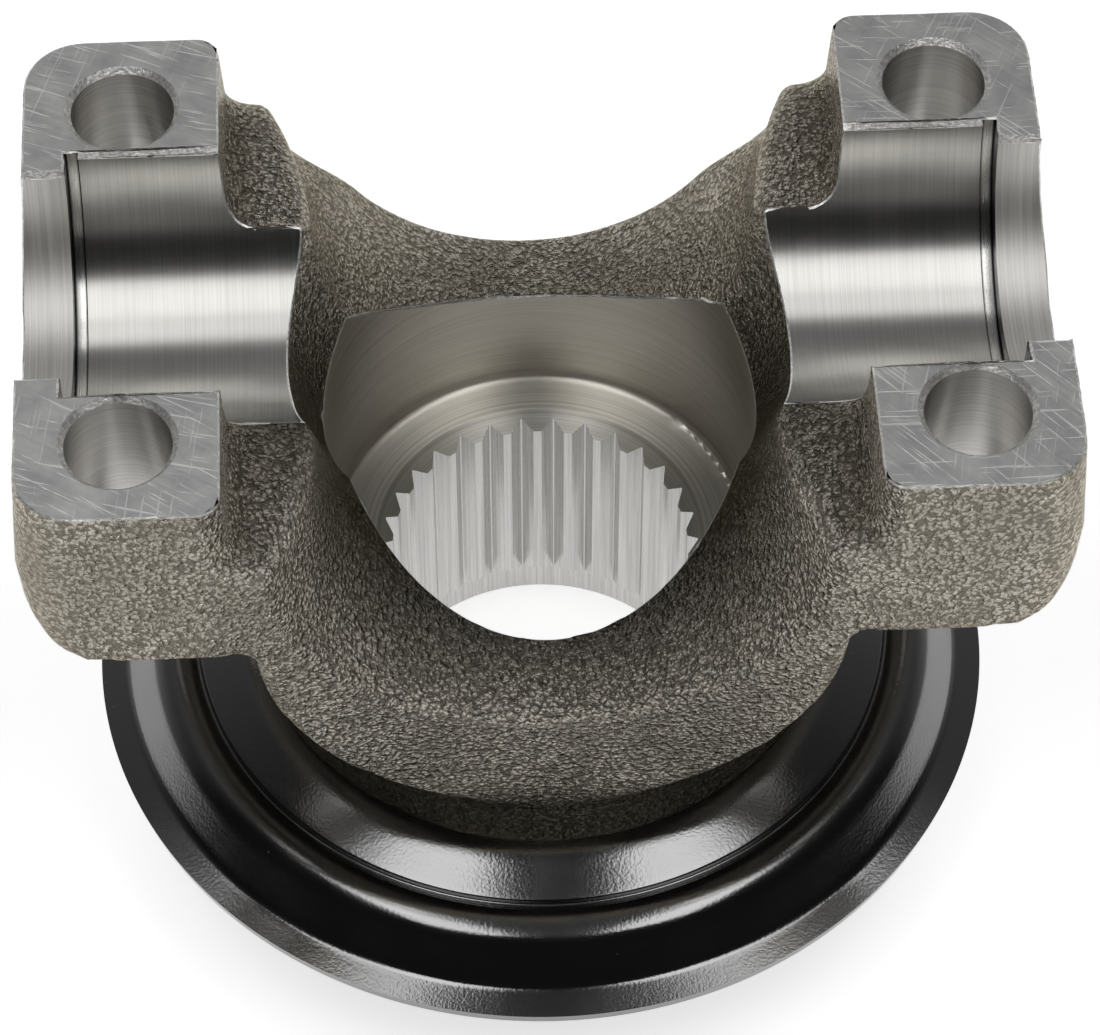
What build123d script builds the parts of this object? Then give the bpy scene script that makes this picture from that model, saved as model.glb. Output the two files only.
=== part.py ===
from build123d import *
from math import asin, cos, radians, tan
import os

# A differential end yoke: one steel forging with two arms, four bolted lugs and a splined hub,
# and the pressed steel dust deflector that is fitted over the hub.
# Millimetres. Z runs up the spline axis from the hub's lower face, X runs along the joint seats.

# heights, measured down from the lug tops unless they say otherwise
overall_height = 77.5
seat_drop = 0.3
ledge_drop = 8.8
trough_drop = 9.8
parting_drop = 12.0
base_drop = 22.5
arm_depth = 23.0
recess_drop = 24.0
nut_seat_height = 32.3
shoulder_height = 21.1

# lugs and arms
lug_span = 100.8
lug_gap = 61.6
lug_width = 60.9
lug_corner_r = 6.0
lug_inner_corner_r = 2.3
lug_wall_lean = 0.5
lug_foot_r = 3.0
arm_corner_r = 8.0
end_draft = 3.7
face_draft = 1.0

# joint seats
cap_d = 30.2
cap_span = 92.1
lip_opening_d = 25.6
groove_width = 1.3
groove_depth = 0.4
seat_edge_break = 0.5

# bolt holes through the lugs
bolt_spacing_x = 80.9
bolt_spacing_y = 42.3
bolt_hole_d = 10.3
bolt_edge_break = 0.2

# trough between the arms, narrowest over its middle stretch and flared to both faces
throat_r = 22.05
throat_length = 22.0
mouth_r = 26.6
trough_edge_r = 1.8

# bowl behind each seat, which clears the joint's cross
recess_half_x = 21.8
recess_half_y = 17.6
recess_lean = 20.0

# base under the trough
base_r = 29.0
base_corner_r = 2.0

# hub
hub_r = 29.8
shoulder_r = 30.7
register_r = 26.0
register_end = 8.5
seal_r = 24.1
hub_end_chamfer = 1.5
register_chamfer = 0.6

# machined pocket and bore
pocket_r = 21.8
pocket_cove_r = 1.0
bore_entry_r = 17.3

# internal spline
spline_teeth = 30
spline_crest_r = 15.55
spline_root_r = 16.55
spline_space_width = 2.28
spline_root_width = 0.16
spline_phase = 10.4
relief_r = 17.8
space_overrun = 0.5
relief_length = 4.0

# dust deflector
sheet = 1.4
collar_length = 10.9
collar_bend_r = 1.9
flange_flat_r = 30.0
flange_r = 36.6
flange_fall = 1.9
flange_bend_r = 4.0
flange_edge_r = 0.3
step_width = 0.6
step_depth = 2.1
valley_r = 0.8
bead_width = 2.9
bead_rise = 2.4
bead_r = 2.6
slope_width = 3.9
slope_depth = 4.75
slope_foot_r = 1.5
rim_width = 3.3
rim_fall = 0.75

lug_top = overall_height
seat_axis = lug_top - seat_drop
ledge_height = lug_top - ledge_drop
trough_axis = lug_top - trough_drop
parting_height = lug_top - parting_drop
base_axis = lug_top - base_drop
arm_bottom = lug_top - arm_depth
recess_height = lug_top - recess_drop
base_bottom = base_axis - base_r

# half sizes of the forging at its parting plane and at the bottom of the base
end_slope = tan(radians(end_draft))
face_slope = tan(radians(face_draft))
parting_x = lug_span / 2 + parting_drop * end_slope
parting_y = lug_width / 2 + parting_drop * face_slope
bottom_x = parting_x - (parting_height - base_bottom) * end_slope
bottom_y = parting_y - (parting_height - base_bottom) * face_slope
arm_bottom_x = parting_x - (parting_height - arm_bottom) * end_slope
base_start = (base_r * cos(asin((base_axis - arm_bottom) / base_r)), arm_bottom)

# turning points of the pressed deflector, from its flange out to its rim
flange_edge = (flange_r, shoulder_height - flange_fall)
valley = (flange_edge[0] + step_width, flange_edge[1] - step_depth)
bead = (valley[0] + bead_width, valley[1] + bead_rise)
slope_foot = (bead[0] + slope_width, bead[1] - slope_depth)
rim = (slope_foot[0] + rim_width, slope_foot[1] - rim_fall)


with BuildPart() as yoke:
    # plan of the forging, drafted up and down from the parting plane
    for height, half_x, half_y in (
        (lug_top, lug_span / 2, lug_width / 2),
        (parting_height, parting_x, parting_y),
        (base_bottom, bottom_x, bottom_y),
    ):
        with BuildSketch(Plane.XY.offset(height)):
            RectangleRounded(2 * half_x, 2 * half_y, lug_corner_r)
    loft(ruled=True)

    # front outline: lugs, ledges, arms and the round base
    with BuildSketch(Plane.XZ):
        with BuildLine():
            Polyline(
                (0, ledge_height),
                (lug_gap / 2 - lug_wall_lean, ledge_height),
                (lug_gap / 2, lug_top),
                (lug_span / 2, lug_top),
                (parting_x, parting_height),
                (arm_bottom_x, arm_bottom),
                base_start,
            )
            RadiusArc(base_start, (0, base_bottom), base_r)
            Line((0, base_bottom), (0, ledge_height))
        make_face()
        for corner, radius in (
            ((arm_bottom_x, arm_bottom), arm_corner_r),
            (base_start, base_corner_r),
            ((lug_gap / 2 - lug_wall_lean, ledge_height), lug_foot_r),
        ):
            fillet(vertices().sort_by_distance(corner)[0], radius)
        mirror(about=Plane.YZ)
    extrude(amount=parting_y + 1, both=True, mode=Mode.INTERSECT)

    # rounded inner corners of the four lugs
    inner_corners = edges().filter_by(
        lambda edge: abs(abs(edge.center().X) - lug_gap / 2) < 1
        and abs(edge.center().Y) > lug_width / 4
        and ledge_height + lug_foot_r < edge.center().Z < lug_top - 1
    )
    fillet(inner_corners, lug_inner_corner_r)

    # hub, turned about the spline axis
    with BuildSketch(Plane.XZ):
        Polygon(
            (0, 0),
            (seal_r - hub_end_chamfer, 0),
            (seal_r, hub_end_chamfer),
            (seal_r, register_end),
            (register_r - register_chamfer, register_end),
            (register_r, register_end + register_chamfer),
            (register_r, shoulder_height),
            (shoulder_r, shoulder_height),
            (hub_r, base_bottom),
            (hub_r, arm_bottom),
            (0, arm_bottom),
            align=None,
        )
    revolve(axis=Axis.Z)

    # trough, turned about an axis across the arms
    with BuildSketch(Plane.YZ):
        with BuildLine():
            throat_end = (throat_length / 2, trough_axis - throat_r)
            mouth = (parting_y, trough_axis - mouth_r)
            Polyline(throat_end, (0, trough_axis - throat_r), (0, trough_axis))
            Polyline((0, trough_axis), (2 * parting_y, trough_axis), (2 * parting_y, mouth[1]), mouth)
            TangentArc(throat_end, mouth, tangent=(1, 0))
        make_face()
        mirror(about=Plane.YZ)
    revolve(axis=Axis((0, 0, trough_axis), (0, 1, 0)), mode=Mode.SUBTRACT)

    # rounded edges where the trough runs out into both faces and up to the ledges
    mouth_edges = edges().filter_by(
        lambda edge: abs(edge.center().Y) > bottom_y - 2
        and abs(edge.center().X) < mouth_r
        and trough_axis - mouth_r - 1 < edge.center().Z < ledge_height - 1
    )
    fillet(mouth_edges, trough_edge_r)

    # bowls behind the seats
    recess_growth = (lug_top - recess_height) * tan(radians(recess_lean))
    with BuildSketch(Plane.XY.offset(recess_height)):
        Ellipse(recess_half_x, recess_half_y)
    with BuildSketch(Plane.XY.offset(lug_top)):
        Ellipse(recess_half_x + recess_growth, recess_half_y + recess_growth)
    loft(mode=Mode.SUBTRACT)

    # machined pocket, nut seat, entry chamfer, bore and relief in one turned cut
    with BuildSketch(Plane.XZ):
        with BuildLine():
            Polyline(
                (0, lug_top),
                (pocket_r, lug_top),
                (pocket_r, nut_seat_height),
                (bore_entry_r, nut_seat_height),
                (spline_crest_r, nut_seat_height - (bore_entry_r - spline_crest_r)),
                (spline_crest_r, relief_length + relief_r - spline_crest_r),
                (relief_r, relief_length),
                (relief_r, 0),
                (0, 0),
                (0, lug_top),
            )
        make_face()
        fillet(vertices().sort_by_distance((pocket_r, nut_seat_height))[0], pocket_cove_r)
    revolve(axis=Axis.Z, mode=Mode.SUBTRACT)

    # spline spaces, broached from the nut seat down to the relief
    space_lean = (spline_space_width - spline_root_width) / 2 / (spline_root_r - spline_crest_r)
    mouth_depth = spline_root_r - spline_crest_r + space_overrun
    space_mouth = spline_root_width / 2 + mouth_depth * space_lean
    with BuildSketch():
        with PolarLocations(0, spline_teeth, start_angle=spline_phase):
            Polygon(
                (spline_root_r, spline_root_width / 2),
                (spline_root_r, -spline_root_width / 2),
                (spline_root_r - mouth_depth, -space_mouth),
                (spline_root_r - mouth_depth, space_mouth),
                align=None,
            )
    extrude(amount=nut_seat_height, mode=Mode.SUBTRACT)

    # seats for the bearing caps, the lips' smaller openings, and the groove beside each lip
    for radius, half_length in ((cap_d / 2, cap_span / 2), (lip_opening_d / 2, parting_x)):
        with BuildSketch(Plane.YZ):
            with Locations((0, seat_axis)):
                Circle(radius)
            Polygon(
                (-radius - seat_edge_break, lug_top),
                (-radius, lug_top - seat_edge_break),
                (radius, lug_top - seat_edge_break),
                (radius + seat_edge_break, lug_top),
                align=None,
            )
        extrude(amount=half_length, both=True, mode=Mode.SUBTRACT)
    for side in (-1, 1):
        with BuildSketch(Plane.YZ.offset(side * cap_span / 2)):
            with Locations((0, seat_axis)):
                Circle(cap_d / 2 + groove_depth)
        extrude(amount=-side * groove_width, mode=Mode.SUBTRACT)

    # bolt holes
    with Locations(Plane.XY.offset(lug_top)):
        with GridLocations(bolt_spacing_x, bolt_spacing_y, 2, 2):
            CounterSinkHole(bolt_hole_d / 2, bolt_hole_d / 2 + bolt_edge_break, depth=arm_depth)


with BuildPart() as dust_deflector:
    # one pressed sheet: collar, flange, valley, bead, slope and rim
    with BuildSketch(Plane.XZ):
        with BuildLine():
            FilletPolyline(
                (register_r, shoulder_height - collar_length),
                (register_r, shoulder_height),
                (flange_flat_r, shoulder_height),
                flange_edge,
                valley,
                bead,
                slope_foot,
                rim,
                radius=(collar_bend_r, flange_bend_r, flange_edge_r, valley_r, bead_r, slope_foot_r),
            )
            offset(amount=sheet, side=Side.RIGHT, closed=True)
        make_face()
    revolve(axis=Axis.Z)


os.makedirs("parts", exist_ok=True)
yoke.part.label = "yoke"
dust_deflector.part.label = "dust_deflector"
export_step(yoke.part, "parts/yoke.step")
export_step(dust_deflector.part, "parts/dust_deflector.step")
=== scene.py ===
import math

import bmesh
import bpy
import numpy as np
from mathutils import Matrix, Vector, noise


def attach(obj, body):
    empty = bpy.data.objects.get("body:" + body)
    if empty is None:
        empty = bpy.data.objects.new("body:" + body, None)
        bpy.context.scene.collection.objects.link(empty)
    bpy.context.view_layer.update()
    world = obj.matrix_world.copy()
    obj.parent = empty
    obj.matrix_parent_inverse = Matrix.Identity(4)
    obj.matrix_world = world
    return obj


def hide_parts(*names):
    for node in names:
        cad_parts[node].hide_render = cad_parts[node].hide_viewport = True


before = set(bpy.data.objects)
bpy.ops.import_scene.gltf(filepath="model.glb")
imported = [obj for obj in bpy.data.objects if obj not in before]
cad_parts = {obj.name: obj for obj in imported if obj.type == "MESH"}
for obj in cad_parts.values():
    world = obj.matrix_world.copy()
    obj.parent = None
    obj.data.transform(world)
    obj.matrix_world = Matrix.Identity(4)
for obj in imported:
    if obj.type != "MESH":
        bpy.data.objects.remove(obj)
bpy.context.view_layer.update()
mm = 0.001
tiny = 1e-12
print("frame loaded:", sorted(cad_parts))


# Mesh helpers. Points are in millimetres until a piece is made.

meshing = {"rounds": 9, "nearlyFlat": 0.9, "leastSquare": 0.15, "mostRise": 0.12, "sharpAngle": 33}


def unit(v):
    return v / np.maximum(np.linalg.norm(v, axis=-1, keepdims=True), tiny)


def faceNormals(points, triangles):
    corners = points[triangles]
    return unit(np.cross(corners[:, 1] - corners[:, 0], corners[:, 2] - corners[:, 0]))


# Points, triangles and corner normals of a CAD node, with its split corners joined again
def readNode(name):
    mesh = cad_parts[name].data
    points = np.empty(len(mesh.vertices) * 3)
    mesh.vertices.foreach_get("co", points)
    corners = np.empty(len(mesh.loops), int)
    mesh.loops.foreach_get("vertex_index", corners)
    normals = np.array([n.vector[:] for n in mesh.corner_normals])
    points = points.reshape(-1, 3) / mm
    _, first, joined = np.unique(np.round(points, 4), axis=0, return_index=True, return_inverse=True)
    triangles = joined.ravel()[corners].reshape(-1, 3)
    whole = (triangles != np.roll(triangles, 1, axis=1)).all(1)
    return points[first], triangles[whole], normals.reshape(-1, 3, 3)[whole]


# The triangles' edges: both ends of each, and which edge each triangle side is
def edgeTable(triangles, count):
    ends = np.sort(np.stack([triangles, np.roll(triangles, -1, axis=1)], axis=2), axis=2)
    keys, sides = np.unique(ends[..., 0] * count + ends[..., 1], return_inverse=True)
    return keys // count, keys % count, sides.reshape(-1, 3)


# The two triangle sides at each edge of a closed mesh
def sidePairs(sides):
    return np.argsort(sides.ravel(), kind="stable").reshape(-1, 2)


# How far the curve that the normals describe passes from each edge's middle, and the normals there
def curveRise(points, triangles, normals, first, second, sides):
    a, b = points[triangles], points[np.roll(triangles, -1, axis=1)]
    na, nb = normals, np.roll(normals, -1, axis=1)
    rise = -(((b - a) * na).sum(2, keepdims=True) * na + ((a - b) * nb).sum(2, keepdims=True) * nb) / 8
    middle = unit(na + nb)
    height = (rise * middle).sum(2).ravel()
    pairs = sidePairs(sides)
    n1, n2 = middle.reshape(-1, 3)[pairs[:, 0]], middle.reshape(-1, 3)[pairs[:, 1]]
    h1, h2 = height[pairs[:, 0]], height[pairs[:, 1]]
    cosine = (n1 * n2).sum(1)
    square = np.maximum(1 - cosine ** 2, meshing["leastSquare"])
    onBoth = ((h1 - cosine * h2) / square)[:, None] * n1 + ((h2 - cosine * h1) / square)[:, None] * n2
    onOne = ((h1 + h2) / 2)[:, None] * unit(n1 + n2)
    shift = np.where((cosine > meshing["nearlyFlat"])[:, None], onOne, onBoth)
    reach = meshing["mostRise"] * np.linalg.norm(points[first] - points[second], axis=1, keepdims=True)
    shift *= np.minimum(1, reach / np.maximum(np.linalg.norm(shift, axis=1, keepdims=True), tiny))
    return shift, middle


# Cuts each triangle at its split sides; mid and middle give the new point on each side and its normal
def cutTriangles(points, triangles, normals, kinds, cut, mid, middle):
    parts = {"t": [], "n": [], "k": []}

    def keep(rows, corners, cornerNormals):
        parts["t"].append(np.stack(corners, axis=1))
        parts["n"].append(np.stack(cornerNormals, axis=1))
        parts["k"].append(kinds[rows])

    total = cut.sum(1)
    rows = np.flatnonzero(total == 0)
    keep(rows, triangles[rows].T, normals[rows].transpose(1, 0, 2))
    rows = np.flatnonzero(total == 3)
    v, m = triangles[rows].T, mid[rows].T
    nv, nm = normals[rows].transpose(1, 0, 2), middle[rows].transpose(1, 0, 2)
    for i in range(3):
        keep(rows, (v[i], m[i], m[i - 1]), (nv[i], nm[i], nm[i - 1]))
    keep(rows, m, nm)
    for turn in range(3):
        t, s, m = (np.roll(values, -turn, axis=1) for values in (triangles, cut, mid))
        n, o = np.roll(normals, -turn, axis=1), np.roll(middle, -turn, axis=1)
        rows = np.flatnonzero(s[:, 0] & ~s[:, 1] & ~s[:, 2])
        keep(rows, (t[rows, 0], m[rows, 0], t[rows, 2]), (n[rows, 0], o[rows, 0], n[rows, 2]))
        keep(rows, (m[rows, 0], t[rows, 1], t[rows, 2]), (o[rows, 0], n[rows, 1], n[rows, 2]))
        rows = np.flatnonzero(s[:, 0] & s[:, 1] & ~s[:, 2])
        keep(rows, (m[rows, 0], t[rows, 1], m[rows, 1]), (o[rows, 0], n[rows, 1], o[rows, 1]))
        one = np.linalg.norm(points[t[rows, 0]] - points[m[rows, 1]], axis=1)
        two = np.linalg.norm(points[m[rows, 0]] - points[t[rows, 2]], axis=1)
        for chosen, corners in ((one < two, ((0, 5, 6), (0, 6, 2))), (one >= two, ((0, 5, 2), (5, 6, 2)))):
            some = rows[chosen]
            place = {0: t[some, 0], 2: t[some, 2], 5: m[some, 0], 6: m[some, 1]}
            facing = {0: n[some, 0], 2: n[some, 2], 5: o[some, 0], 6: o[some, 1]}
            for corner in corners:
                keep(some, [place[c] for c in corner], [facing[c] for c in corner])
    return tuple(np.concatenate(parts[key]) for key in "tnk")


# Splits long edges in half, and sets each new point on the curve that the normals describe
def refine(points, triangles, normals, kinds, longest):
    for _ in range(meshing["rounds"]):
        first, second, sides = edgeTable(triangles, len(points))
        limit = np.full(len(first), np.inf)
        np.minimum.at(limit, sides.ravel(), np.repeat(longest[kinds], 3))
        split = np.linalg.norm(points[first] - points[second], axis=1) > limit
        if not split.any():
            break
        shift, middle = curveRise(points, triangles, normals, first, second, sides)
        number = np.where(split, len(points) + np.cumsum(split) - 1, -1)
        points = np.vstack([points, ((points[first] + points[second]) / 2 + shift)[split]])
        cut, mid = split[sides], number[sides]
        triangles, normals, kinds = cutTriangles(points, triangles, normals, kinds, cut, mid, middle)
    return points, triangles, normals, kinds


# Area-weighted normals of the chosen triangles at each point
def pointNormals(points, triangles, chosen):
    t = triangles[chosen]
    face = np.cross(points[t[:, 1]] - points[t[:, 0]], points[t[:, 2]] - points[t[:, 0]])

    def gather(amount):
        return sum(np.bincount(t[:, i], amount, len(points)) for i in range(3))

    return unit(np.stack([gather(face[:, axis]) for axis in range(3)], axis=1))


# Smooth noise from -1 to 1 with features of about that size in millimetres
def cloudNoise(points, size, seed):
    shift = Vector((17.3 * seed, -9.1 * seed, 5.7 * seed))
    return np.array([noise.noise(Vector(p) / size + shift) for p in points.tolist()])


# How deep the waves of those sizes and reaches go at each point
def waveDepth(points, waves, firstSeed):
    depth = np.zeros(len(points))
    for seed, (size, reach) in enumerate(waves, firstSeed):
        depth -= reach * (0.5 + 0.5 * cloudNoise(points, size, seed))
    return depth


# A mesh object, with each kind of face in its own finish
def makePiece(name, points, triangles, kinds, finishes, bevels=()):
    mesh = bpy.data.meshes.new(name)
    mesh.from_pydata((points * mm).tolist(), [], triangles.tolist())
    mesh.polygons.foreach_set("material_index", kinds.astype(np.int32))
    for finish in finishes:
        mesh.materials.append(finish)
    work = bmesh.new()
    work.from_mesh(mesh)
    for pairs, width, finish in bevels:
        edges = [
            e for e in work.edges
            if len(e.link_faces) == 2 and frozenset(f.material_index for f in e.link_faces) in pairs
        ]
        bmesh.ops.bevel(
            work, geom=edges, offset=width * mm, offset_type="OFFSET", segments=1, profile=0.5,
            affect="EDGES", clamp_overlap=False, material=finish, loop_slide=False,
        )
    work.to_mesh(mesh)
    work.free()
    piece = bpy.data.objects.new(name, mesh)
    bpy.context.scene.collection.objects.link(piece)
    mesh.shade_smooth()
    mesh.set_sharp_from_angle(angle=math.radians(meshing["sharpAngle"]))
    return piece


# Material helpers. Textures are laid out in millimetres of the object's own space.

def startFinish(name):
    finish = bpy.data.materials.new(name)
    finish.use_nodes = True
    tree = finish.node_tree
    tree.nodes.clear()
    shader = addNode(tree, "ShaderNodeBsdfPrincipled")
    output = addNode(tree, "ShaderNodeOutputMaterial")
    tree.links.new(shader.outputs["BSDF"], output.inputs["Surface"])
    place = addNode(tree, "ShaderNodeTexCoord").outputs["Object"]
    scaled = addNode(tree, "ShaderNodeVectorMath", {0: place, "Scale": 1 / mm}, operation="SCALE")
    return finish, tree, shader, scaled.outputs["Vector"]


def setSocket(tree, socket, value):
    if isinstance(value, bpy.types.NodeSocket):
        tree.links.new(value, socket)
    else:
        socket.default_value = value


def addNode(tree, kind, inputs=None, **settings):
    made = tree.nodes.new(kind)
    for key, value in settings.items():
        setattr(made, key, value)
    for key, value in (inputs or {}).items():
        setSocket(tree, made.inputs[key], value)
    return made


def stretch(tree, place, scale):
    return addNode(tree, "ShaderNodeMapping", {"Vector": place, "Scale": scale}).outputs["Vector"]


def grain(tree, place, scale, detail=2.0, rough=0.5):
    inputs = {"Vector": place, "Scale": scale, "Detail": detail, "Roughness": rough}
    return addNode(tree, "ShaderNodeTexNoise", inputs).outputs["Fac"]


def remap(tree, value, fromLow, fromHigh, low, high):
    inputs = {"Value": value, "From Min": fromLow, "From Max": fromHigh, "To Min": low, "To Max": high}
    return addNode(tree, "ShaderNodeMapRange", inputs).outputs["Result"]


def combine(tree, operation, a, b):
    return addNode(tree, "ShaderNodeMath", {0: a, 1: b}, operation=operation).outputs["Value"]


def vectorMath(tree, operation, *values):
    made = addNode(tree, "ShaderNodeVectorMath", dict(enumerate(values)), operation=operation)
    return made.outputs["Value" if operation == "LENGTH" else "Vector"]


# The level vector from a point in the XY plane
def levelFrom(tree, place, centre=(0, 0)):
    moved = vectorMath(tree, "ADD", place, (-centre[0], -centre[1], 0))
    return vectorMath(tree, "MULTIPLY", moved, (1, 1, 0))


def blendColour(tree, amount, a, b):
    return addNode(tree, "ShaderNodeMix", {0: amount, 6: a, 7: b}, data_type="RGBA").outputs[2]


# One colour where a texture is low, and another where it is high
def tone(tree, texture, a, b, low=0.35, high=0.65):
    return blendColour(tree, remap(tree, texture, low, high, 0, 1), a, b)


# Roughness that follows a texture from one value to the other
def roughBy(tree, texture, ends, low=0.3, high=0.7):
    return remap(tree, texture, low, high, *ends)


# Bump of the given depth in millimetres
def relief(tree, height, depth):
    return addNode(tree, "ShaderNodeBump", {"Height": height, "Distance": depth * mm}).outputs["Normal"]


# Tool marks spread a highlight across themselves: along "x" or "z", straight "out" from a centre,
# or "around" the spline axis
def spread(tree, shader, place, amount, way, centre=(0, 0)):
    if way in "xz":
        across = addNode(tree, "ShaderNodeCombineXYZ", {way.upper(): 1.0}).outputs["Vector"]
    elif way == "out":
        across = levelFrom(tree, place, centre)
    else:
        facing = addNode(tree, "ShaderNodeNewGeometry").outputs["Normal"]
        across = vectorMath(tree, "CROSS_PRODUCT", facing, (0, 0, 1))
    tree.links.new(across, shader.inputs["Tangent"])
    shader.inputs["Anisotropic"].default_value = amount


def wire(tree, shader, **sockets):
    names = {"colour": "Base Color", "rough": "Roughness", "normal": "Normal", "metal": "Metallic"}
    for key, value in sockets.items():
        setSocket(tree, shader.inputs[names[key]], value)


# Finishes of the forging

skin = {
    "pit": (0.27, 0.25, 0.212, 1), "dark": (0.52, 0.487, 0.425, 1), "light": (0.8, 0.753, 0.665, 1),
    "rim": (0.75, 0.7, 0.6, 1), "metal": 0.95, "rough": (0.15, 0.22), "patchSize": 9.0,
    "grain": 0.5, "smallGrain": 0.55, "smallAmount": 0.6, "smooth": 0.25, "grainDepth": 0.8,
    "grit": 0.26, "gritAmount": 0.8, "jitterScale": 1.6, "jitter": (0.7, 0.7, 0.7),
    # The near-black colour and the reaches below paint shade into the forged colour
    "paintedShade": (0.018, 0.014, 0.008, 1), "shadeReach": 60, "shadeFrom": 0.45, "shadeTo": 0.75,
    "underShadeFrom": 26, "underShadeTo": 31, "underShadeLeast": 0.15,
    "armShadeMiddle": (0, -6, 58), "armShadeReach": (35, 23, 27), "armShadeFrom": 0.65, "armShadeTo": 1.15,
    "armShadeLeast": 0.1,
}


# Grains and grit, with painted shade darkening the colour in the hollows, under the forging and between the
# arms
def forgedSkin():
    finish, tree, shader, place = startFinish("forgedSkin")
    inputs = {"Vector": place, "Scale": skin["jitterScale"], "Detail": 1.0}
    jitter = addNode(tree, "ShaderNodeTexNoise", inputs).outputs["Color"]
    bent = vectorMath(tree, "MULTIPLY_ADD", jitter, skin["jitter"], place)
    grains = []
    for scale in (1 / skin["grain"], skin["smallGrain"] / skin["grain"]):
        inputs = {"Vector": bent, "Scale": scale, "Smoothness": skin["smooth"]}
        grains.append(addNode(tree, "ShaderNodeTexVoronoi", inputs, feature="SMOOTH_F1").outputs["Distance"])
    grit = grain(tree, place, 1 / skin["grit"], 2.0, 0.6)
    patches = grain(tree, place, 1 / skin["patchSize"], 3.0, 0.6)
    height = combine(tree, "ADD", grains[0], combine(tree, "MULTIPLY", grains[1], skin["smallAmount"]))
    height = combine(tree, "SUBTRACT", combine(tree, "MULTIPLY", grit, skin["gritAmount"]), height)
    colour = tone(tree, patches, skin["dark"], skin["light"])
    colour = tone(tree, grains[0], colour, skin["pit"], 0.35, 0.6)
    # Painted shade: the colour goes to the near-black shade colour where ambient occlusion is low, low down
    # under the arms, and round a point between the arms
    reach = {"Distance": skin["shadeReach"] * mm}
    openness = addNode(tree, "ShaderNodeAmbientOcclusion", reach, samples=8, only_local=True).outputs["AO"]
    level = addNode(tree, "ShaderNodeSeparateXYZ", {"Vector": place}).outputs["Z"]
    armShadeDistance = vectorMath(tree, "SUBTRACT", place, skin["armShadeMiddle"])
    armShadeDistance = vectorMath(tree, "LENGTH", vectorMath(tree, "DIVIDE", armShadeDistance, skin["armShadeReach"]))
    unshaded = combine(tree, "MULTIPLY", remap(tree, openness, skin["shadeFrom"], skin["shadeTo"], 0, 1),
                    remap(tree, level, skin["underShadeFrom"], skin["underShadeTo"], skin["underShadeLeast"], 1))
    unshaded = combine(tree, "MULTIPLY", unshaded,
                    remap(tree, armShadeDistance, skin["armShadeFrom"], skin["armShadeTo"], skin["armShadeLeast"], 1))
    colour = blendColour(tree, unshaded, skin["paintedShade"], colour)
    shader.inputs["Specular Tint"].default_value = skin["rim"]
    wire(tree, shader, colour=colour, metal=skin["metal"], rough=roughBy(tree, patches, skin["rough"]),
         normal=relief(tree, height, skin["grainDepth"]))
    return finish


milled = {
    "colour": (0.7, 0.7, 0.69, 1), "dull": (0.52, 0.525, 0.52, 1), "line": (0.95, 0.95, 0.93, 1),
    "rough": (0.38, 0.46), "depth": 0.012, "spread": 0.5, "patches": 0.22, "cutter": (-150, -190),
    "strokePitch": 0.35, "strokeLength": 14, "markPitch": 0.3, "markLength": 9, "markFrom": 0.63,
    "markTo": 0.68, "arcs": (((-150, -190), 1.0), ((40, 260), 0.8), ((210, -60), 0.8)), "lineAmount": 0.85,
}


# Fine marks along circles round a far point, as a face cutter leaves them
def arcMarks(tree, place, centre, pitch, length):
    level = levelFrom(tree, place, centre)
    parts = addNode(tree, "ShaderNodeSeparateXYZ", {"Vector": level})
    radius = vectorMath(tree, "LENGTH", level)
    angle = combine(tree, "ARCTAN2", parts.outputs["Y"], parts.outputs["X"])
    across = combine(tree, "MULTIPLY", radius, 1 / pitch)
    along = combine(tree, "MULTIPLY", angle, math.hypot(*centre) / length)
    where = addNode(tree, "ShaderNodeCombineXYZ", {"X": across, "Y": along}).outputs["Vector"]
    return grain(tree, where, 1.0, 2.0, 0.55)


def milledFace():
    finish, tree, shader, place = startFinish("milledFace")
    strokes = arcMarks(tree, place, milled["cutter"], milled["strokePitch"], milled["strokeLength"])
    patches = grain(tree, place, milled["patches"], 3.0, 0.6)
    marks = None
    for centre, amount in milled["arcs"]:
        thin = arcMarks(tree, place, centre, milled["markPitch"], milled["markLength"])
        thin = remap(tree, thin, milled["markFrom"], milled["markTo"], 0, 1)
        thin = combine(tree, "MULTIPLY", thin, amount)
        marks = thin if marks is None else combine(tree, "MAXIMUM", marks, thin)
    height = combine(tree, "SUBTRACT", strokes, marks)
    colour = tone(tree, patches, milled["dull"], milled["colour"])
    colour = blendColour(tree, combine(tree, "MULTIPLY", marks, milled["lineAmount"]), colour, milled["line"])
    spread(tree, shader, place, milled["spread"], "out", milled["cutter"])
    wire(tree, shader, colour=colour, metal=1.0, rough=roughBy(tree, strokes, milled["rough"]),
         normal=relief(tree, height, milled["depth"]))
    return finish


seat = {
    "colour": (0.64, 0.63, 0.605, 1), "shade": (0.52, 0.51, 0.485, 1), "rough": (0.29, 0.34),
    "depth": 0.0015, "spread": 0.8, "pitch": (5.0, 0.03, 0.03), "stains": 0.18, "stainRough": (0, 0.06),
}


def boredSeat():
    finish, tree, shader, place = startFinish("boredSeat")
    rings = grain(tree, stretch(tree, place, seat["pitch"]), 1.0, 4.0, 0.7)
    stains = roughBy(tree, grain(tree, place, seat["stains"], 3.0, 0.6), seat["stainRough"], 0.5, 0.8)
    spread(tree, shader, place, seat["spread"], "x")
    wire(tree, shader, colour=tone(tree, rings, seat["shade"], seat["colour"]), metal=1.0,
         rough=combine(tree, "ADD", roughBy(tree, rings, seat["rough"]), stains),
         normal=relief(tree, rings, seat["depth"]))
    return finish


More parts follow.
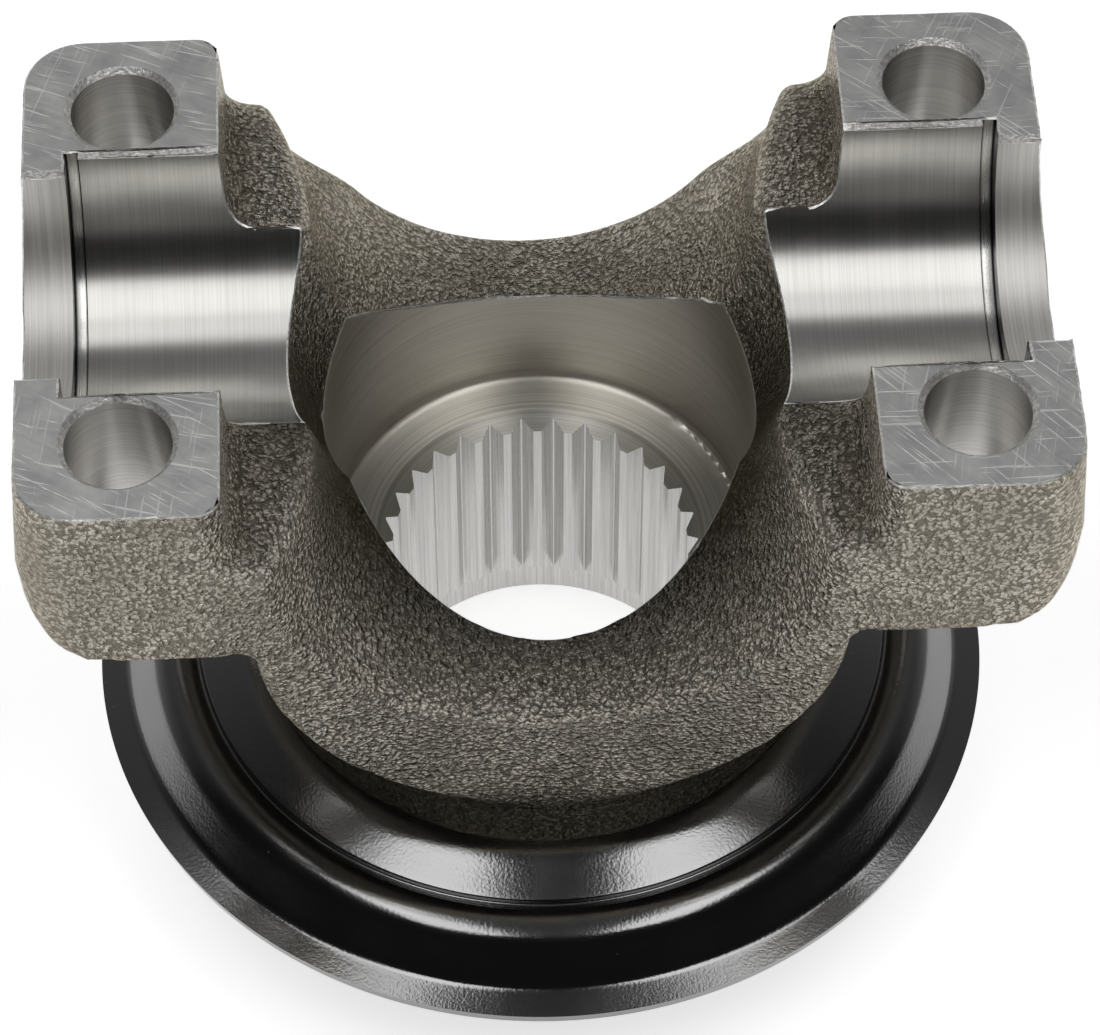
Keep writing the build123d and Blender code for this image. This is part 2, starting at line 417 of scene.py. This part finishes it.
# Finishes with tool marks that run one way: the marks are fine along the axis with the large pitch value
turned = {
    "drilledWall": {
        "colour": (0.74, 0.725, 0.7, 1), "rough": (0.3, 0.36), "depth": 0.0015,
        "pitch": (0.05, 0.05, 5.0), "way": "z", "spread": 0.7,
    },
    "pocketWall": {
        "colour": (0.56, 0.53, 0.47, 1), "rough": (0.34, 0.42), "depth": 0.002,
        "pitch": (0.05, 0.05, 5.0), "way": "z", "spread": 0.7,
    },
    "broachedSpline": {
        "colour": (0.6, 0.59, 0.575, 1), "rough": (0.2, 0.3), "depth": 0.003,
        "pitch": (4.0, 4.0, 0.05), "way": "around", "spread": 0.3,
    },
    "turnedHub": {
        "colour": (0.5, 0.49, 0.47, 1), "rough": (0.28, 0.38), "depth": 0.004,
        "pitch": (0.05, 0.05, 5.0), "way": "z", "spread": 0.7,
    },
    "lipWall": {
        "colour": (0.74, 0.73, 0.7, 1), "rough": (0.5, 0.58), "depth": 0.002,
        "pitch": (5.0, 0.05, 0.05), "way": "x", "spread": 0.3,
    },
}
markShade = 0.75


def turnedSteel(name):
    values = turned[name]
    finish, tree, shader, place = startFinish(name)
    marks = grain(tree, stretch(tree, place, values["pitch"]), 1.0, 3.0, 0.6)
    shade = tuple(c * markShade for c in values["colour"][:3]) + (1,)
    spread(tree, shader, place, values["spread"], values["way"])
    wire(tree, shader, colour=tone(tree, marks, shade, values["colour"]), metal=1.0,
         rough=roughBy(tree, marks, values["rough"]), normal=relief(tree, marks, values["depth"]))
    return finish


groove = {
    "colour": (0.8, 0.79, 0.76, 1), "shade": (0.02, 0.02, 0.02, 1), "rough": (0.22, 0.34), "depth": 0.002,
    "pitch": (6.0, 0.05, 0.05), "from": 44.75, "to": 46.05, "rim": 0.3,
}


# Bright turned floor with painted shade along both corners
def turnedGroove():
    finish, tree, shader, place = startFinish("turnedGroove")
    across = addNode(tree, "ShaderNodeSeparateXYZ", {"Vector": place}).outputs["X"]
    out = combine(tree, "ABSOLUTE", across, 0.0)
    middle = (groove["from"] + groove["to"]) / 2
    away = combine(tree, "ABSOLUTE", combine(tree, "SUBTRACT", out, middle), 0.0)
    half = (groove["to"] - groove["from"]) / 2
    # Painted shade: the floor turns to the near-black shade colour within the rim width of both groove walls
    dark = remap(tree, away, half - groove["rim"], half - groove["rim"] / 3, 0, 1)
    rings = grain(tree, stretch(tree, place, groove["pitch"]), 1.0, 3.0, 0.6)
    spread(tree, shader, place, seat["spread"], "x")
    wire(tree, shader, colour=blendColour(tree, dark, groove["colour"], groove["shade"]), metal=1.0,
         rough=roughBy(tree, rings, groove["rough"]), normal=relief(tree, rings, groove["depth"]))
    return finish


faced = {
    "colour": (0.8, 0.775, 0.71, 1), "shade": (0.5, 0.48, 0.43, 1), "rough": (0.34, 0.44), "depth": 0.012,
    "pitch": 3.2, "spread": 0.8,
}


# Concentric tool marks round the spline axis
def facedRing():
    finish, tree, shader, place = startFinish("facedRing")
    radius = vectorMath(tree, "LENGTH", levelFrom(tree, place))
    rings = addNode(tree, "ShaderNodeCombineXYZ", {"X": radius}).outputs["Vector"]
    marks = grain(tree, rings, faced["pitch"], 4.0, 0.7)
    spread(tree, shader, place, faced["spread"], "out")
    wire(tree, shader, colour=tone(tree, marks, faced["shade"], faced["colour"]), metal=1.0,
         rough=roughBy(tree, marks, faced["rough"]), normal=relief(tree, marks, faced["depth"]))
    return finish


broken = {
    "colour": (0.97, 0.96, 0.94, 1), "shade": (0.66, 0.65, 0.62, 1), "metal": 0.9, "rough": 0.42,
    "grit": 2.6, "depth": 0.08,
}


def brokenEdge():
    finish, tree, shader, place = startFinish("brokenEdge")
    grit = grain(tree, place, broken["grit"], 3.0, 0.6)
    wire(tree, shader, colour=tone(tree, grit, broken["shade"], broken["colour"], 0.4, 0.6),
         metal=broken["metal"], rough=broken["rough"], normal=relief(tree, grit, broken["depth"]))
    return finish


paint = {
    "colour": (0.0015, 0.0016, 0.0019, 1), "speck": (0.2, 0.2, 0.19, 1), "index": 2.4, "rough": (0.13, 0.17),
    "peelSize": 0.3, "peelDepth": 0.013, "waves": 0.12, "specks": 1.3, "speckFrom": 0.74, "speckTo": 0.77,
}


def blackCoat():
    finish, tree, shader, place = startFinish("blackCoat")
    peel = grain(tree, place, 1 / paint["peelSize"])
    waves = grain(tree, place, paint["waves"])
    specks = grain(tree, place, paint["specks"], 3.0, 0.6)
    colour = tone(tree, specks, paint["colour"], paint["speck"], paint["speckFrom"], paint["speckTo"])
    shader.inputs["IOR"].default_value = paint["index"]
    wire(tree, shader, colour=colour, metal=0.0, rough=roughBy(tree, waves, paint["rough"], 0.35, 0.65),
         normal=relief(tree, peel, paint["peelDepth"]))
    return finish


# The forging. Its faces are told apart by where they lie and cut finer, and its skin is moved a little.

yoke = {
    "lugTop": 77.5, "seatAxis": 77.2, "seatRadius": 15.1, "lipRadius": 12.8, "lipFace": 46.05,
    "grooveRadius": 15.5, "boltX": 40.45, "boltY": 21.15, "boltRadius": 5.15, "boltEdge": 0.2,
    "pocketRadius": 21.8, "nutSeat": 32.3, "splineTop": 30.5, "splineRadius": 16.7, "shoulder": 21.1,
    "reliefTop": 6.3, "reliefRadius": 17.8,
    "forgedEdge": 1.05, "machinedEdge": 1.3, "waves": ((9.0, 0.10), (3.2, 0.05), (1.3, 0.03)), "slide": 1.6,
    "troughAxis": 67.7, "throatEnd": 11.0, "throatRadius": 22.05, "flareRadius": 44.75, "troughEdge": 1.8,
    "fade": 8.0, "lowFrom": 0.1, "lowRun": 0.5,
    "holeEdge": 0.6, "creaseAngle": 22, "softEdge": 10, "softReach": 1.2, "softStep": 0.5,
    "burr": 0.16, "thinBurr": 0.14,
}
# How close a face has to lie to a size above, and where each kind of face starts and ends
sorting = {
    "near": 0.07, "wallNear": 0.06, "edgeNear": 0.05, "holeNear": 0.03, "topNear": 0.02, "levelNear": 0.01,
    "slack": 0.1,
    "facing": 0.9, "upward": 0.5, "inward": 0.3, "upright": 0.2, "slanting": (0.2, 0.95),
    "hubFrom": 17.5, "splineEntry": 1.6, "ringReach": 21.9, "ringRise": 0.35,
    "pocketTop": 56, "pocketFrom": 20.6, "coveTop": 33.4, "seatFrom": 20,
    "grooveFrom": 44.5, "grooveWalls": (44.6, 46.2), "grooveReach": 15.7,
    "seatEdge": (12, 16.5), "seatEdgeOut": 28, "seatEdgeDrop": (0.6, 0.001), "holeRim": 0.65,
}
# In the order of the finishes in buildYoke
kindNames = [
    "forged", "milled", "seat", "groove", "drilled", "pocket", "ring", "spline", "turned", "lip", "edge",
]
kindOf = {name: index for index, name in enumerate(kindNames)}


def between(value, low, high):
    return (value > low) & (value < high)


# The kind of each triangle of the CAD mesh; a later rule wins over an earlier one
def sortFaces(points, triangles):
    x, y, z = points[triangles].mean(1).T
    nx, ny, nz = faceNormals(points, triangles).T
    out, top, pocket = abs(x), yoke["lugTop"], yoke["pocketRadius"]
    radius = np.hypot(x, y)
    inward = -(nx * x + ny * y) / np.maximum(radius, tiny)
    toAxis = np.hypot(y, z - yoke["seatAxis"])
    bored = -(ny * y + nz * (z - yoke["seatAxis"])) / np.maximum(toAxis, tiny) > sorting["facing"]
    slanting = between(nz, *sorting["slanting"])
    fromBolt = np.hypot(out - yoke["boltX"], abs(y) - yoke["boltY"])
    onWall = (abs(radius - pocket) < sorting["wallNear"]) | (z < sorting["coveTop"])
    above, below = sorting["seatEdgeDrop"]
    rules = (
        ("turned", (z < yoke["shoulder"] + sorting["edgeNear"]) & (radius > sorting["hubFrom"])),
        ("spline", (z < yoke["reliefTop"]) & (radius < yoke["reliefRadius"] + sorting["slack"])),
        ("spline", (z < yoke["splineTop"] + sorting["splineEntry"]) & (radius < yoke["splineRadius"])),
        ("ring", between(z, yoke["splineTop"], yoke["nutSeat"] + sorting["ringRise"])
         & (radius < sorting["ringReach"]) & (nz > sorting["upward"])),
        ("pocket", between(z, yoke["nutSeat"], sorting["pocketTop"]) & (inward > sorting["inward"])
         & between(radius, sorting["pocketFrom"], pocket + sorting["wallNear"]) & onWall),
        ("seat", (abs(toAxis - yoke["seatRadius"]) < sorting["near"]) & bored & (out > sorting["seatFrom"])),
        ("lip", (abs(toAxis - yoke["lipRadius"]) < sorting["near"]) & bored
         & (out > yoke["lipFace"] - sorting["slack"])),
        ("groove", (abs(toAxis - yoke["grooveRadius"]) < sorting["near"]) & bored
         & (out > sorting["grooveFrom"])),
        ("groove", (abs(nx) > sorting["facing"]) & between(out, *sorting["grooveWalls"])
         & (toAxis < sorting["grooveReach"]) & (z < top - sorting["slack"])),
        ("edge", between(z, top - above, top - below) & slanting & between(abs(y), *sorting["seatEdge"])
         & (out > sorting["seatEdgeOut"])),
        ("milled", (abs(z - top) < sorting["levelNear"]) & (nz > sorting["facing"])),
        ("drilled", (fromBolt < yoke["boltRadius"] + sorting["edgeNear"]) & (abs(nz) < sorting["upright"])),
        ("edge", (fromBolt < yoke["boltRadius"] + sorting["holeRim"]) & (z > top - sorting["holeRim"])
         & slanting),
    )
    kinds = np.zeros(len(triangles), int)
    for name, where in rules:
        kinds[where] = kindOf[name]
    return kinds


# Widens the broken edge at the top of each bolt hole
def openHoles(points):
    middle = np.sign(points[:, :2]) * (yoke["boltX"], yoke["boltY"])
    away = points[:, :2] - middle
    reach = np.linalg.norm(away, axis=1)
    hole, edge, height = yoke["boltRadius"], yoke["boltEdge"], points[:, 2]
    rim = abs(height - yoke["lugTop"]) < sorting["topNear"]
    rim &= abs(reach - hole - edge) < sorting["holeNear"]
    under = abs(height - yoke["lugTop"] + edge) < sorting["edgeNear"]
    under &= abs(reach - hole) < sorting["holeNear"]
    wider = middle + away * ((hole + yoke["holeEdge"]) / np.maximum(reach, tiny))[:, None]
    moved = points.copy()
    moved[rim, :2] = wider[rim]
    moved[under, 2] = yoke["lugTop"] - yoke["holeEdge"]
    return moved


# Rounds the creases that lie between two forged faces
def softenCreases(points, triangles, kinds):
    first, second, sides = edgeTable(triangles, len(points))
    forged = kinds == kindOf["forged"]
    pairs = sidePairs(sides) // 3
    facing = faceNormals(points, triangles)
    cosine = (facing[pairs[:, 0]] * facing[pairs[:, 1]]).sum(1)
    crease = (cosine < math.cos(math.radians(yoke["creaseAngle"]))) & forged[pairs].all(1)
    weight = np.zeros(len(points))
    weight[first[crease]] = weight[second[crease]] = 1
    free = np.ones(len(points), bool)
    free[triangles[~forged].ravel()] = False
    ends, others = np.concatenate([first, second]), np.concatenate([second, first])
    degree = np.bincount(ends, minlength=len(points))
    for _ in range(2):
        mean = np.bincount(ends, weight[others], len(points)) / degree
        weight = np.maximum(weight, np.minimum(1, mean * yoke["softReach"]))
    weight *= free
    for _ in range(yoke["softEdge"]):
        mean = [np.bincount(ends, points[others, i], len(points)) for i in range(3)]
        mean = np.stack(mean, 1) / degree[:, None]
        points = points + (yoke["softStep"] * weight)[:, None] * (mean - points)
    return points


# Takes the flare out of the trough's far end, under its lower half
def straightenTrough(points):
    x, y, z = points.T
    down = yoke["troughAxis"] - z
    radius = np.maximum(np.hypot(x, down), tiny)
    run = np.clip(y - yoke["throatEnd"], 0, None)
    flare = yoke["flareRadius"] - np.sqrt(yoke["flareRadius"] ** 2 - run ** 2)
    rise = yoke["throatRadius"] + flare + yoke["troughEdge"]
    keep = np.clip(1 - (radius - rise) / yoke["fade"], 0, 1)
    low = np.clip((down / radius - yoke["lowFrom"]) / yoke["lowRun"], 0, 1)
    amount = flare * keep * low * low * (3 - 2 * low) / radius
    return points - np.stack([x * amount, 0 * y, -down * amount], 1)


# Low waves and dents of the forged skin; where it meets a machined face it only slides along that face
def moveSkin(points, triangles, kinds):
    forged = kinds == kindOf["forged"]
    onSkin = np.zeros(len(points), bool)
    onSkin[triangles[forged].ravel()] = True
    onMachined = np.zeros(len(points), bool)
    onMachined[triangles[~forged].ravel()] = True
    depth = np.zeros(len(points))
    depth[onSkin] = waveDepth(points[onSkin], yoke["waves"], 1)
    move = pointNormals(points, triangles, forged) * depth[:, None]
    rim = np.flatnonzero(onSkin & onMachined)
    flat = pointNormals(points, triangles, ~forged)[rim]
    slide = move[rim] * yoke["slide"]
    move[rim] = slide - flat * (slide * flat).sum(1, keepdims=True)
    return points + move


# Exact normals on the bored, drilled and milled faces
def trueNormals(piece):
    mesh = piece.data
    corners = np.empty(len(mesh.loops), int)
    mesh.loops.foreach_get("vertex_index", corners)
    points = np.empty(len(mesh.vertices) * 3)
    mesh.vertices.foreach_get("co", points)
    at = points.reshape(-1, 3)[corners] / mm
    kinds = np.empty(len(mesh.polygons), int)
    mesh.polygons.foreach_get("material_index", kinds)
    sizes = np.empty(len(mesh.polygons), int)
    mesh.polygons.foreach_get("loop_total", sizes)
    kinds = np.repeat(kinds, sizes)
    lean = np.repeat([abs(p.normal[2]) for p in mesh.polygons], sizes)
    exact = np.zeros((len(at), 3))
    exact[kinds == kindOf["milled"]] = (0, 0, 1)
    rows = (kinds == kindOf["seat"]) | (kinds == kindOf["lip"])
    exact[rows] = -unit(np.stack([np.zeros(rows.sum()), at[rows, 1], at[rows, 2] - yoke["seatAxis"]], 1))
    rows = kinds == kindOf["drilled"]
    middle = np.sign(at[rows][:, :2]) * (yoke["boltX"], yoke["boltY"])
    exact[rows] = -unit(np.column_stack([at[rows][:, :2] - middle, np.zeros(rows.sum())]))
    rows = (kinds == kindOf["pocket"]) & (lean < 0.1)
    exact[rows] = -unit(np.column_stack([at[rows][:, :2], np.zeros(rows.sum())]))
    mesh.normals_split_custom_set(exact.tolist())


def buildYoke():
    points, triangles, normals = readNode("yoke")
    points = openHoles(points)
    kinds = sortFaces(points, triangles)
    longest = np.full(len(kindNames), yoke["machinedEdge"])
    longest[kindOf["forged"]] = yoke["forgedEdge"]
    points, triangles, normals, kinds = refine(points, triangles, normals, kinds, longest)
    points = straightenTrough(softenCreases(points, triangles, kinds))
    points = moveSkin(points, triangles, kinds)
    finishes = [
        forgedSkin(), milledFace(), boredSeat(), turnedGroove(), turnedSteel("drilledWall"),
        turnedSteel("pocketWall"), facedRing(), turnedSteel("broachedSpline"), turnedSteel("turnedHub"),
        turnedSteel("lipWall"), brokenEdge(),
    ]
    forged, edge = kindOf["forged"], kindOf["edge"]
    wide = {frozenset((forged, kindOf["milled"]))}
    thin = {frozenset((forged, kindOf[name])) for name in ("seat", "lip", "pocket")}
    burrs = (wide, yoke["burr"], edge), (thin, yoke["thinBurr"], edge)
    piece = makePiece("forgedYoke", points, triangles, kinds, finishes, burrs)
    trueNormals(piece)
    print("yoke:", len(piece.data.polygons), "faces")
    return piece


yokePiece = buildYoke()
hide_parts("yoke")
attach(yokePiece, "root")


# The dust deflector: its pressed section turned about the spline axis, with slight waves from the pressing.
# Each bend is a corner of the section, out from the axis and up, with the radius of its arc.

deflector = {
    "bends": (
        (26.0, 10.2, 0), (26.0, 21.1, 1.9), (30.6, 21.08, 0.5), (32.0, 21.0, 6.0), (36.6, 19.2, 0.3),
        (36.85, 18.6, 0.25), (39.9, 20.4, 3.4), (44.4, 14.65, 1.5), (47.3, 14.0, 0),
    ),
    "valley": 5, "sheet": 1.4, "step": 0.75, "arcStep": 0.13, "leastArc": 0.03, "turns": 300,
    "waves": ((24.0, 0.03), (9.0, 0.005)), "firstSeed": 7,
}


# A path through the corners, with an arc of the given radius at each
def roundedPath(corners, radii):
    path = [corners[0]]
    for before, corner, after, radius in zip(corners, corners[1:], corners[2:], radii[1:]):
        if radius < deflector["leastArc"]:
            path.append(corner)
            continue
        a, b = unit(before - corner), unit(after - corner)
        half = math.acos(float(np.clip(-(a * b).sum(), -1, 1))) / 2
        middle = corner + unit(a + b) * radius / math.cos(half)
        start, stop = corner + a * radius * math.tan(half), corner + b * radius * math.tan(half)
        steps = max(3, round(2 * half / deflector["arcStep"]))
        for i in range(steps + 1):
            share = math.sin(2 * half * (1 - i / steps)), math.sin(2 * half * i / steps)
            path.append(middle + unit((start - middle) * share[0] + (stop - middle) * share[1]) * radius)
    path.append(corners[-1])
    return np.array(path)


# The corners of the path that runs that far to the right of this one
def offsetCorners(corners, gap):
    along = unit(np.diff(corners, axis=0))
    right = np.stack([along[:, 1], -along[:, 0]], 1) * gap
    moved = [corners[0] + right[0]]
    for i in range(1, len(corners) - 1):
        p, q, d, e = corners[i] + right[i - 1], corners[i] + right[i], along[i - 1], along[i]
        t = ((q - p)[0] * e[1] - (q - p)[1] * e[0]) / (d[0] * e[1] - d[1] * e[0])
        moved.append(p + d * t)
    return np.array(moved + [corners[-1] + right[-1]])


# The closed section of the sheet; the small step at the valley doesn't show through on its lower side
def deflectorSection():
    bends, sheet = np.array(deflector["bends"]), deflector["sheet"]
    lower = np.delete(bends, deflector["valley"], axis=0)
    along = np.diff(lower[:, :2], axis=0)
    turn = np.sign(along[:-1, 0] * along[1:, 1] - along[:-1, 1] * along[1:, 0])
    under = np.concatenate([[0], lower[1:-1, 2] + sheet * turn, [0]])
    above, below = bends[:, :2], offsetCorners(lower[:, :2], sheet)
    loop = np.vstack([roundedPath(above, bends[:, 2]), roundedPath(below, under)[::-1]])
    section = []
    for a, b in zip(loop, np.roll(loop, -1, axis=0)):
        steps = max(1, math.ceil(np.linalg.norm(b - a) / deflector["step"]))
        section += [a + (b - a) * i / steps for i in range(steps)]
    return np.array(section)


def buildDeflector():
    section, turns = deflectorSection(), deflector["turns"]
    count = len(section)
    angle = np.linspace(0, 2 * math.pi, turns, endpoint=False)[:, None]
    out, up = section.T
    points = np.stack([out * np.cos(angle), out * np.sin(angle), up + 0 * angle], axis=2).reshape(-1, 3)
    i, j = np.meshgrid(np.arange(turns), np.arange(count), indexing="ij")
    ring, point = (i + 1) % turns * count, (j + 1) % count
    a, b, c, d = (k.ravel() for k in (i * count + j, ring + j, ring + point, i * count + point))
    triangles = np.concatenate([np.stack([a, b, c], 1), np.stack([a, c, d], 1)])
    volume = (points[triangles[:, 0]] * np.cross(points[triangles[:, 1]], points[triangles[:, 2]])).sum()
    if volume < 0:
        triangles = triangles[:, ::-1]
    kinds = np.zeros(len(triangles), int)
    facing = pointNormals(points, triangles, kinds == 0)
    for seed, wave in enumerate(deflector["waves"], deflector["firstSeed"]):
        points = points + facing * waveDepth(points, [wave], seed)[:, None]
    piece = makePiece("dustDeflector", points, triangles, kinds, [blackCoat()])
    print("deflector:", len(piece.data.polygons), "faces")
    return piece


deflectorPiece = buildDeflector()
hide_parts("dust_deflector")
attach(deflectorPiece, "root")


# Floor, lights and camera

studio = {
    "floorSize": 8.0, "floorColour": (0.8, 0.8, 0.8, 1), "floorGlow": 0.7, "pool": 0.4, "poolEnd": 2.4,
    "ground": (0.8, 0.8, 0.8, 1), "backLow": (0.9, 0.9, 0.9, 1), "backHigh": (0.3, 0.3, 0.3, 1),
    "front": (0.02, 0.02, 0.02, 1), "horizon": (0.0, 0.03), "wallRise": (0.0, 0.6), "wallDepth": (0.05, 0.9),
}


# A pale floor that glows softly round the object where it is seen, and doesn't light it
def makeFloor():
    half = studio["floorSize"] / 2
    mesh = bpy.data.meshes.new("studioFloor")
    corners = [(-half, -half, 0), (half, -half, 0), (half, half, 0), (-half, half, 0)]
    mesh.from_pydata(corners, [], [(0, 1, 2, 3)])
    floor = bpy.data.objects.new("studioFloor", mesh)
    bpy.context.scene.collection.objects.link(floor)
    finish = bpy.data.materials.new("paleFloor")
    finish.use_nodes = True
    tree = finish.node_tree
    tree.nodes.clear()
    rays = addNode(tree, "ShaderNodeLightPath")
    seen = combine(tree, "MAXIMUM", rays.outputs["Is Camera Ray"], rays.outputs["Is Glossy Ray"])
    seen = combine(tree, "MAXIMUM", seen, rays.outputs["Is Transmission Ray"])
    matt = addNode(tree, "ShaderNodeBsdfDiffuse", {"Color": studio["floorColour"]})
    away = vectorMath(tree, "LENGTH", addNode(tree, "ShaderNodeTexCoord").outputs["Object"])
    strength = remap(tree, away, studio["pool"], studio["poolEnd"], studio["floorGlow"], 0)
    strength = combine(tree, "MULTIPLY", seen, strength)
    glow = addNode(tree, "ShaderNodeEmission", {"Color": (1, 1, 1, 1), "Strength": strength})
    both = addNode(tree, "ShaderNodeAddShader", {0: matt.outputs[0], 1: glow.outputs[0]})
    addNode(tree, "ShaderNodeOutputMaterial", {"Surface": both.outputs[0]})
    mesh.materials.append(finish)


# A plain room: pale down to the horizon, dark behind the camera and grey behind the object
def makeWorld():
    world = bpy.data.worlds.new("studioRoom")
    bpy.context.scene.world = world
    world.use_nodes = True
    tree = world.node_tree
    tree.nodes.clear()
    way = addNode(tree, "ShaderNodeTexCoord").outputs["Generated"]
    parts = addNode(tree, "ShaderNodeSeparateXYZ", {"Vector": way})
    back = tone(tree, parts.outputs["Z"], studio["backLow"], studio["backHigh"], *studio["wallRise"])
    wall = tone(tree, parts.outputs["Y"], studio["front"], back, *studio["wallDepth"])
    colour = tone(tree, parts.outputs["Z"], studio["ground"], wall, *studio["horizon"])
    glow = addNode(tree, "ShaderNodeBackground", {"Color": colour, "Strength": 1.0})
    addNode(tree, "ShaderNodeOutputWorld", {"Surface": glow.outputs[0]})


lamps = {
    "leftFrontBox": {"at": (-0.27, -0.305, 0.9), "size": (0.3, 0.51), "glow": 2.8},
    "rightFrontBox": {"at": (0.32, -0.305, 0.9), "size": (0.3, 0.51), "glow": 2.8},
    "leftBox": {"at": (-0.27, 0.105, 0.9), "size": (0.3, 0.27), "glow": 2.2},
    "rightBox": {"at": (0.32, 0.105, 0.9), "size": (0.3, 0.27), "glow": 2.2},
    "wideBox": {"at": (0.0, 0.0, 0.95), "size": (1.2, 0.8), "glow": 0.03},
}


# A soft box hung level over the object. Its power is 4 times its brightness for each square metre.
def makeLamp(name, at, size, glow):
    lamp = bpy.data.lights.new(name, "AREA")
    lamp.shape = "RECTANGLE"
    lamp.size, lamp.size_y = size
    lamp.energy = 4 * glow * size[0] * size[1]
    made = bpy.data.objects.new(name, lamp)
    made.location = at
    bpy.context.scene.collection.objects.link(made)


camera = {
    "at": (-12.18, -282.77, 405.28), "azimuth": -2.675, "elevation": 52.557, "roll": -0.115,
    "focal": 4471.5, "pictureWidth": 1100, "filmWidth": 36.0, "clip": (0.01, 30),
}


def makeCamera():
    azimuth, elevation, roll = (math.radians(camera[key]) for key in ("azimuth", "elevation", "roll"))
    level = math.cos(elevation)
    back = Vector((math.sin(azimuth) * level, -math.cos(azimuth) * level, math.sin(elevation)))
    right = Vector((math.cos(azimuth), math.sin(azimuth), 0))
    up = back.cross(right)
    turnedRight = math.cos(roll) * right + math.sin(roll) * up
    turnedUp = -math.sin(roll) * right + math.cos(roll) * up
    data = bpy.data.cameras.new("productCamera")
    data.sensor_fit = "HORIZONTAL"
    data.sensor_width = camera["filmWidth"]
    data.lens = camera["filmWidth"] * camera["focal"] / camera["pictureWidth"]
    data.clip_start, data.clip_end = camera["clip"]
    made = bpy.data.objects.new("productCamera", data)
    made.matrix_world = Matrix((turnedRight, turnedUp, back)).transposed().to_4x4()
    made.location = Vector(camera["at"]) * mm
    bpy.context.scene.collection.objects.link(made)
    bpy.context.scene.camera = made


makeFloor()
makeWorld()
for lampName, values in lamps.items():
    makeLamp(lampName, **values)
makeCamera()
bpy.context.scene.view_settings.view_transform = "Standard"
print("stage, lights and camera set")
